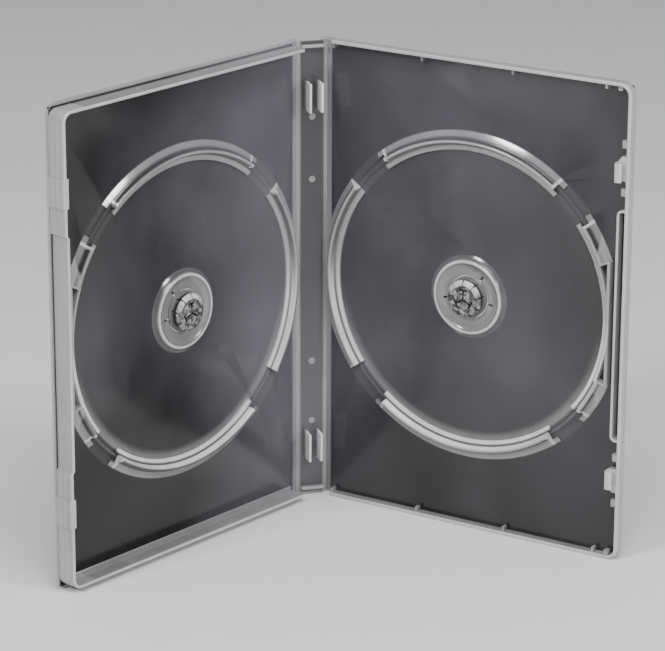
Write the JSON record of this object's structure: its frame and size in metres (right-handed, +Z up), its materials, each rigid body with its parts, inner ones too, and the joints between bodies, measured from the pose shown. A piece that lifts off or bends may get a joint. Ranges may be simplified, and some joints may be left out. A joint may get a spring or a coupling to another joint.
{
  "type": "dvd case",
  "caption": "Clear disc case standing open, with two covers on webs along a narrow spine, ring-shaped disc trays and fingered press-release hubs.",
  "frame": {"origin": "On the floor, at the middle of the bottom of the open case's bounding box.", "axes": "Z up along the spine, X along the width of the spine, the open side faces -Y."},
  "size_m": [0.2176, 0.1022, 0.19],
  "materials": {
    "clear_plastic": "glossy",
    "hub_plastic": "satin"
  },
  "bodies": {
    "spine": {"spine": "clear_plastic"},
    "front_cover": {"front_cover": "clear_plastic"},
    "back_cover": {"back_cover": "clear_plastic"},
    "front_hub_button": {"front_hub_button": "hub_plastic"},
    "back_hub_button": {"back_hub_button": "hub_plastic"}
  },
  "joints": [
    {"name": "front_hinge", "type": "hinge", "parent": "spine", "child": "front_cover", "pos_m": [0.00453, 0.05081, 0.095], "axis": [0, 0, 1], "range_deg": [-32.5, 57.5]},
    {"name": "back_hinge", "type": "hinge", "parent": "spine", "child": "back_cover", "pos_m": [0.01793, 0.05081, 0.095], "axis": [0, 0, -1], "range_deg": [-47.5, 42.5]},
    {"name": "front_button_press", "type": "slide", "parent": "front_cover", "child": "front_hub_button", "axis": [-0.5373, 0.8434, 0], "range_m": [0, 0.0012], "stiffness_N_per_m": 600},
    {"name": "back_button_press", "type": "slide", "parent": "back_cover", "child": "back_hub_button", "axis": [0.7373, 0.6756, 0], "range_m": [0, 0.0012], "stiffness_N_per_m": 600}
  ]
}
